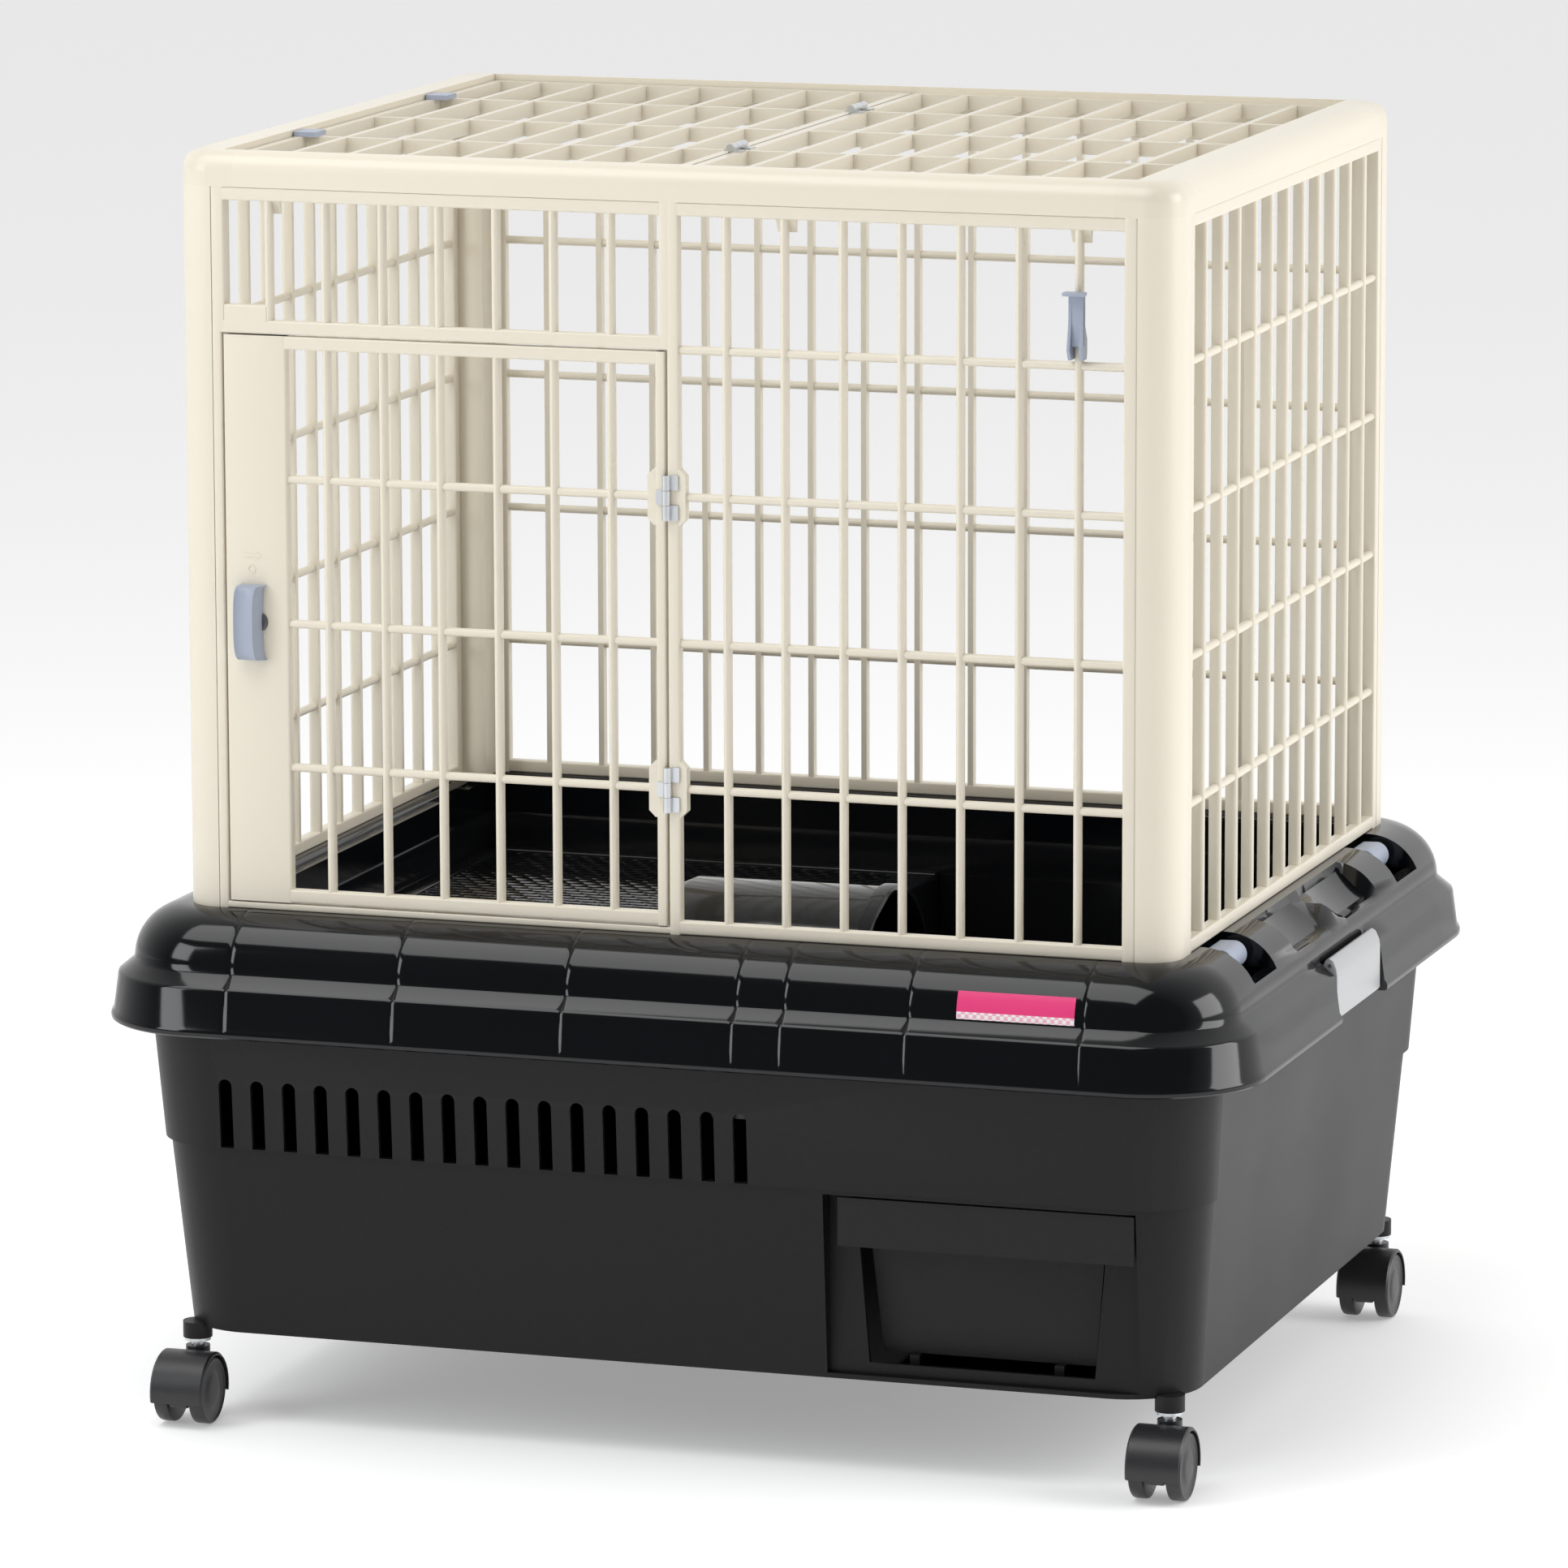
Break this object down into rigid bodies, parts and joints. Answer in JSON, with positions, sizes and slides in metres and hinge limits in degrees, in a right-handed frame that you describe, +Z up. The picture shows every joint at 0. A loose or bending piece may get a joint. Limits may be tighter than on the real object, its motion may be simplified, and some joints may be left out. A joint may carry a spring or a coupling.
{
  "type": "rabbit cage",
  "caption": "Rectangular grille cage with a front door and hinged roof lid on a domed deck, tub base with pull-out drawer, and swivel casters.",
  "frame": {"origin": "floor level under the middle of the object", "axes": "+Z up, +Y to the back, the door and drawer face -Y, +X to the right"},
  "size_m": [0.726, 0.602, 0.78],
  "materials": {
    "cage_plastic": "moulded ivory-beige plastic, satin gloss",
    "deck_plastic": "polished black plastic",
    "tub_plastic": "fine-grained charcoal plastic",
    "clip_plastic": "blue-grey plastic",
    "zinc_steel": "zinc-plated steel",
    "buckle_plastic": "light grey plastic",
    "label_film": "printed film, plain bands",
    "caster_plastic": "black plastic, satin"
  },
  "bodies": {
    "root": {"front_panel": "cage_plastic", "rear_panel": "cage_plastic", "left_panel": "cage_plastic", "right_panel": "cage_plastic", "top_corner_caps": "cage_plastic", "top_joint_caps": "cage_plastic", "top_rails_front": "cage_plastic", "top_rails_rear": "cage_plastic", "top_rail_left": "cage_plastic", "top_rail_right": "cage_plastic", "roof_fixed": "cage_plastic", "post_front_left": "cage_plastic", "post_front_right": "cage_plastic", "post_rear_left": "cage_plastic", "post_rear_right": "cage_plastic", "door_hinge_fixed": "zinc_steel", "roof_hinge_fixed": "zinc_steel", "buckle_pins": "zinc_steel", "deck": "deck_plastic", "floor_tray": "deck_plastic", "tunnel_hood": "deck_plastic", "tub": "tub_plastic", "drawer_grate": "tub_plastic", "front_label": "label_film", "caster_front_left_stem": "zinc_steel", "caster_front_right_stem": "zinc_steel", "caster_rear_left_stem": "zinc_steel", "caster_rear_right_stem": "zinc_steel", "clip_pins": "zinc_steel"},
    "door": {"door": "cage_plastic", "door_hinge_leaf": "zinc_steel"},
    "door_latch": {"door_latch": "clip_plastic"},
    "roof_lid": {"roof_lid": "cage_plastic", "roof_hinge_leaf": "zinc_steel"},
    "roof_latch_front": {"roof_latch_front": "clip_plastic"},
    "roof_latch_rear": {"roof_latch_rear": "clip_plastic"},
    "bottle_hook": {"bottle_hook": "clip_plastic"},
    "drawer": {"drawer": "tub_plastic"},
    "buckle_left": {"buckle_left": "buckle_plastic"},
    "buckle_right": {"buckle_right": "buckle_plastic"},
    "clip_front_left": {"clip_front_left": "clip_plastic"},
    "clip_front_right": {"clip_front_right": "clip_plastic"},
    "clip_rear_left": {"clip_rear_left": "clip_plastic"},
    "clip_rear_right": {"clip_rear_right": "clip_plastic"},
    "caster_front_left": {"caster_front_left_fork": "caster_plastic"},
    "caster_front_left_wheel_left": {"caster_front_left_wheel_left": "caster_plastic"},
    "caster_front_left_wheel_right": {"caster_front_left_wheel_right": "caster_plastic"},
    "caster_front_right": {"caster_front_right_fork": "caster_plastic"},
    "caster_front_right_wheel_left": {"caster_front_right_wheel_left": "caster_plastic"},
    "caster_front_right_wheel_right": {"caster_front_right_wheel_right": "caster_plastic"},
    "caster_rear_left": {"caster_rear_left_fork": "caster_plastic"},
    "caster_rear_left_wheel_left": {"caster_rear_left_wheel_left": "caster_plastic"},
    "caster_rear_left_wheel_right": {"caster_rear_left_wheel_right": "caster_plastic"},
    "caster_rear_right": {"caster_rear_right_fork": "caster_plastic"},
    "caster_rear_right_wheel_left": {"caster_rear_right_wheel_left": "caster_plastic"},
    "caster_rear_right_wheel_right": {"caster_rear_right_wheel_right": "caster_plastic"}
  },
  "joints": [
    {"name": "door_swing", "type": "hinge", "parent": "root", "child": "door", "pos_m": [0, -0.2525, 0.49], "axis": [0, 0, 1], "range_deg": [0, 170]},
    {"name": "door_latch_slide", "type": "slide", "parent": "door", "child": "door_latch", "axis": [1, 0, 0], "range_m": [0, 0.009]},
    {"name": "roof_lid_swing", "type": "hinge", "parent": "root", "child": "roof_lid", "pos_m": [0, 0, 0.7775], "axis": [0, 1, 0], "range_deg": [0, 170]},
    {"name": "drawer_slide", "type": "slide", "parent": "root", "child": "drawer", "axis": [0, -1, 0], "range_m": [0, 0.3]},
    {"name": "bottle_hook_slide", "type": "slide", "parent": "root", "child": "bottle_hook", "axis": [0, 0, 1], "range_m": [0, 0.028]},
    {"name": "roof_latch_front_slide", "type": "slide", "parent": "roof_lid", "child": "roof_latch_front", "axis": [1, 0, 0], "range_m": [0, 0.008]},
    {"name": "roof_latch_rear_slide", "type": "slide", "parent": "roof_lid", "child": "roof_latch_rear", "axis": [1, 0, 0], "range_m": [0, 0.008]},
    {"name": "buckle_left_swing", "type": "hinge", "parent": "root", "child": "buckle_left", "pos_m": [-0.354, 0, 0.284], "axis": [0, 1, 0], "range_deg": [0, 110]},
    {"name": "buckle_right_swing", "type": "hinge", "parent": "root", "child": "buckle_right", "pos_m": [0.354, 0, 0.284], "axis": [0, -1, 0], "range_deg": [0, 110]},
    {"name": "clip_front_left_swing", "type": "hinge", "parent": "root", "child": "clip_front_left", "pos_m": [-0.3215, -0.168, 0.309], "axis": [0, -1, 0], "range_deg": [0, 80]},
    {"name": "clip_front_right_swing", "type": "hinge", "parent": "root", "child": "clip_front_right", "pos_m": [0.3215, -0.168, 0.309], "axis": [0, 1, 0], "range_deg": [0, 80]},
    {"name": "clip_rear_left_swing", "type": "hinge", "parent": "root", "child": "clip_rear_left", "pos_m": [-0.3215, 0.168, 0.309], "axis": [0, -1, 0], "range_deg": [0, 80]},
    {"name": "clip_rear_right_swing", "type": "hinge", "parent": "root", "child": "clip_rear_right", "pos_m": [0.3215, 0.168, 0.309], "axis": [0, 1, 0], "range_deg": [0, 80]},
    {"name": "caster_front_left_swivel", "type": "hinge", "parent": "root", "child": "caster_front_left", "pos_m": [-0.309, -0.243, 0.04], "axis": [0, 0, 1], "continuous": true},
    {"name": "caster_front_left_roll_left", "type": "hinge", "parent": "caster_front_left", "child": "caster_front_left_wheel_left", "pos_m": [-0.309, -0.258, 0.0205], "axis": [1, 0, 0], "continuous": true},
    {"name": "caster_front_left_roll_right", "type": "hinge", "parent": "caster_front_left", "child": "caster_front_left_wheel_right", "pos_m": [-0.309, -0.258, 0.0205], "axis": [1, 0, 0], "continuous": true},
    {"name": "caster_front_right_swivel", "type": "hinge", "parent": "root", "child": "caster_front_right", "pos_m": [0.309, -0.243, 0.04], "axis": [0, 0, 1], "continuous": true},
    {"name": "caster_front_right_roll_left", "type": "hinge", "parent": "caster_front_right", "child": "caster_front_right_wheel_left", "pos_m": [0.309, -0.258, 0.0205], "axis": [1, 0, 0], "continuous": true},
    {"name": "caster_front_right_roll_right", "type": "hinge", "parent": "caster_front_right", "child": "caster_front_right_wheel_right", "pos_m": [0.309, -0.258, 0.0205], "axis": [1, 0, 0], "continuous": true},
    {"name": "caster_rear_left_swivel", "type": "hinge", "parent": "root", "child": "caster_rear_left", "pos_m": [-0.309, 0.243, 0.04], "axis": [0, 0, 1], "continuous": true},
    {"name": "caster_rear_left_roll_left", "type": "hinge", "parent": "caster_rear_left", "child": "caster_rear_left_wheel_left", "pos_m": [-0.309, 0.228, 0.0205], "axis": [1, 0, 0], "continuous": true},
    {"name": "caster_rear_left_roll_right", "type": "hinge", "parent": "caster_rear_left", "child": "caster_rear_left_wheel_right", "pos_m": [-0.309, 0.228, 0.0205], "axis": [1, 0, 0], "continuous": true},
    {"name": "caster_rear_right_swivel", "type": "hinge", "parent": "root", "child": "caster_rear_right", "pos_m": [0.309, 0.243, 0.04], "axis": [0, 0, 1], "continuous": true},
    {"name": "caster_rear_right_roll_left", "type": "hinge", "parent": "caster_rear_right", "child": "caster_rear_right_wheel_left", "pos_m": [0.309, 0.228, 0.0205], "axis": [1, 0, 0], "continuous": true},
    {"name": "caster_rear_right_roll_right", "type": "hinge", "parent": "caster_rear_right", "child": "caster_rear_right_wheel_right", "pos_m": [0.309, 0.228, 0.0205], "axis": [1, 0, 0], "continuous": true}
  ]
}
